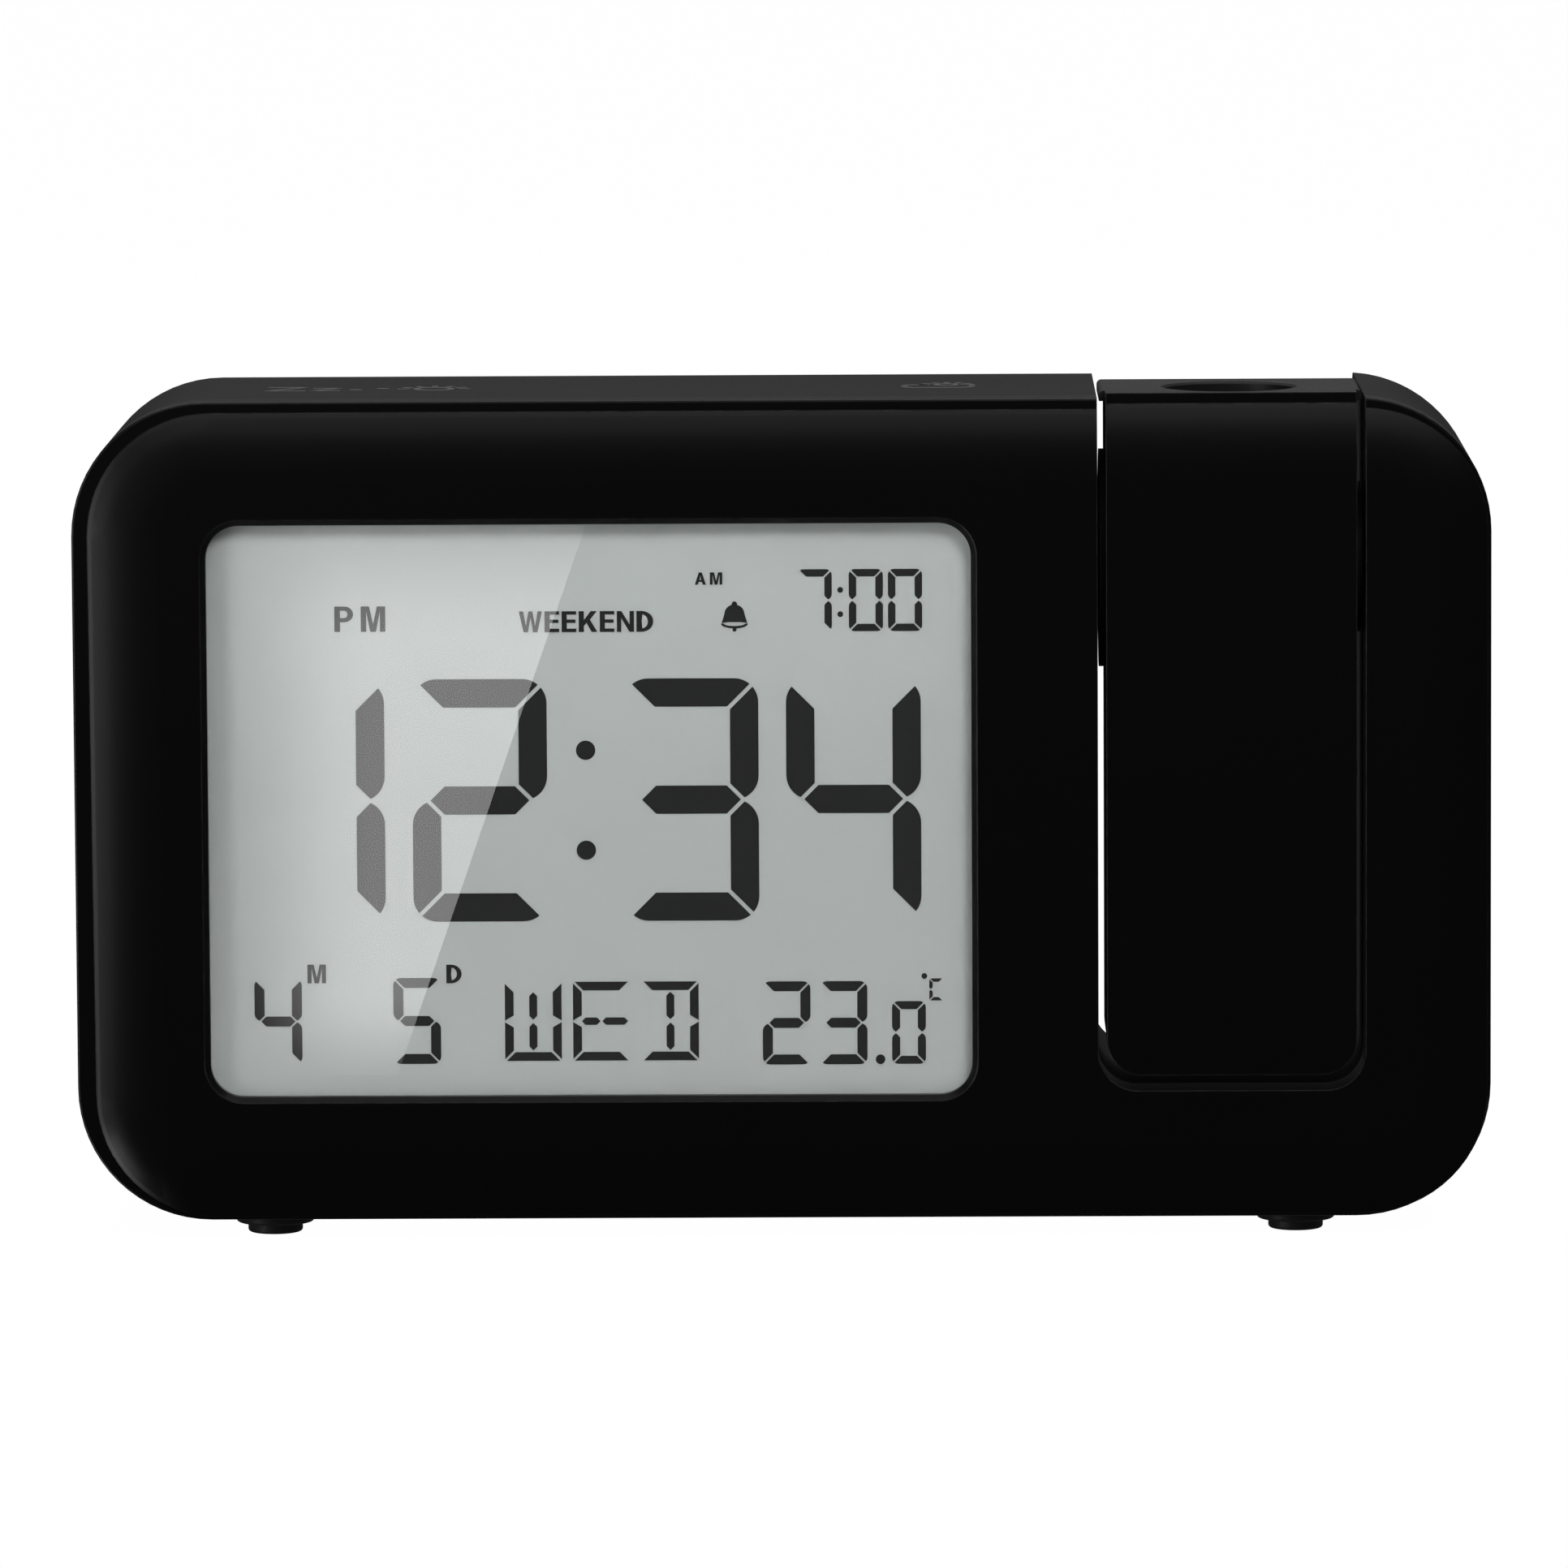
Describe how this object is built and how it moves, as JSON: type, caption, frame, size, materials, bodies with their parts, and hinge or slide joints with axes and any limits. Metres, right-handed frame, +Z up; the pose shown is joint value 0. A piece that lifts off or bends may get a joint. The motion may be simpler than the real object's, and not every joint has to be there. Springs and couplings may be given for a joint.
{
  "type": "projection alarm clock",
  "caption": "Desk alarm clock with a large display, touch zones on top, keys behind, and a projector arm that swings in an open slot.",
  "frame": {"origin": "on the table, under the middle of the case", "axes": "+X right of a person reading the display, +Y from the face to the back, +Z up"},
  "size_m": [0.1746, 0.045, 0.1045],
  "materials": {
    "face_black": "satin",
    "case_black": "fine matte",
    "cap_black": "matte",
    "window_clear": "clear acrylic",
    "lcd_glass": "polished",
    "diffuser_white": "milky",
    "holder_white": "moulded",
    "board_green": "solder mask",
    "component_black": "moulded",
    "elastomer_pink": "matte",
    "foot_rubber": "matte",
    "key_grey": "satin",
    "screw_steel": "zinc plated",
    "contact_nickel": "nickel plated",
    "cell_sleeve": "shrink sleeve",
    "copper_plate": "plain",
    "speaker_steel": "pressed",
    "lens_clear": "polished",
    "lamp_red": "clear red",
    "slide_film": "polished",
    "washer_nylon": "natural nylon"
  },
  "bodies": {
    "case": {"front_bezel": "face_black", "rear_housing": "case_black", "display_window": "window_clear", "lcd_panel": "lcd_glass", "lcd_backlight": "diffuser_white", "lcd_holder": "holder_white", "lcd_connector": "elastomer_pink", "main_board": "board_green", "board_components": "component_black", "board_screws": "screw_steel", "key_board": "board_green", "tact_switches": "component_black", "slide_switch": "contact_nickel", "power_inlet": "component_black", "speaker": "speaker_steel", "speaker_bracket": "case_black", "temperature_sensor": "component_black", "snooze_touch_plate": "copper_plate", "light_touch_plate": "copper_plate", "battery_cells": "cell_sleeve", "battery_plates": "contact_nickel", "battery_springs": "contact_nickel", "foot_front_left": "foot_rubber", "foot_front_right": "foot_rubber", "foot_rear_left": "foot_rubber", "foot_rear_right": "foot_rubber", "case_screws": "screw_steel", "friction_washers": "washer_nylon"},
    "arm": {"arm_front_shell": "face_black", "arm_rear_shell": "case_black", "arm_top_cap": "cap_black", "arm_screws": "screw_steel", "pivot_hub_left": "case_black", "pivot_hub_right": "case_black", "pivot_retainers": "screw_steel", "optical_chassis": "case_black", "led_board": "board_green", "projector_led": "lamp_red", "condenser_lens": "lens_clear", "projection_slide": "slide_film", "projector_driver": "board_green"},
    "focus_ring": {"focus_ring": "cap_black"},
    "lens_carrier": {"lens_carrier": "cap_black", "projection_lens_rear": "lens_clear", "projection_lens_front": "lens_clear"},
    "battery_door": {"battery_door": "case_black"},
    "key_set": {"key_set": "key_grey"},
    "key_plus": {"key_plus": "key_grey"},
    "key_minus": {"key_minus": "key_grey"},
    "key_alarm": {"key_alarm": "key_grey"},
    "key_mode": {"key_mode": "key_grey"},
    "key_flip": {"key_flip": "key_grey"},
    "slide_knob": {"slide_knob": "key_grey"}
  },
  "joints": [
    {"name": "arm_swing", "type": "hinge", "parent": "case", "child": "arm", "pos_m": [0.0553, -0.0105, 0.0834], "axis": [1, 0, 0], "range_deg": [-90, 90]},
    {"name": "focus_turn", "type": "hinge", "parent": "arm", "child": "focus_ring", "pos_m": [0.0553, -0.0105, 0.0996], "axis": [0, 0, 1], "range_deg": [-125, 125]},
    {"name": "focus_slide", "type": "slide", "parent": "arm", "child": "lens_carrier", "axis": [0, 0, 1], "range_m": [-0.0015, 0.0015]},
    {"name": "battery_door_tilt", "type": "hinge", "parent": "case", "child": "battery_door", "pos_m": [-0.04145, 0.0224, 0.01375], "axis": [-1, 0, 0], "range_deg": [0, 55]},
    {"name": "key_set_press", "type": "slide", "parent": "case", "child": "key_set", "axis": [0, -1, 0], "range_m": [0, 0.0008], "stiffness_N_per_m": 900},
    {"name": "key_plus_press", "type": "slide", "parent": "case", "child": "key_plus", "axis": [0, -1, 0], "range_m": [0, 0.0008], "stiffness_N_per_m": 900},
    {"name": "key_minus_press", "type": "slide", "parent": "case", "child": "key_minus", "axis": [0, -1, 0], "range_m": [0, 0.0008], "stiffness_N_per_m": 900},
    {"name": "key_alarm_press", "type": "slide", "parent": "case", "child": "key_alarm", "axis": [0, -1, 0], "range_m": [0, 0.0008], "stiffness_N_per_m": 900},
    {"name": "key_mode_press", "type": "slide", "parent": "case", "child": "key_mode", "axis": [0, -1, 0], "range_m": [0, 0.0008], "stiffness_N_per_m": 900},
    {"name": "key_flip_press", "type": "slide", "parent": "case", "child": "key_flip", "axis": [0, -1, 0], "range_m": [0, 0.0008], "stiffness_N_per_m": 900},
    {"name": "projector_switch_slide", "type": "slide", "parent": "case", "child": "slide_knob", "axis": [1, 0, 0], "range_m": [0, 0.004]}
  ],
  "couplings": [
    {"joint": "focus_turn", "follows": "focus_slide", "rad_per_m": 1396.6}
  ]
}
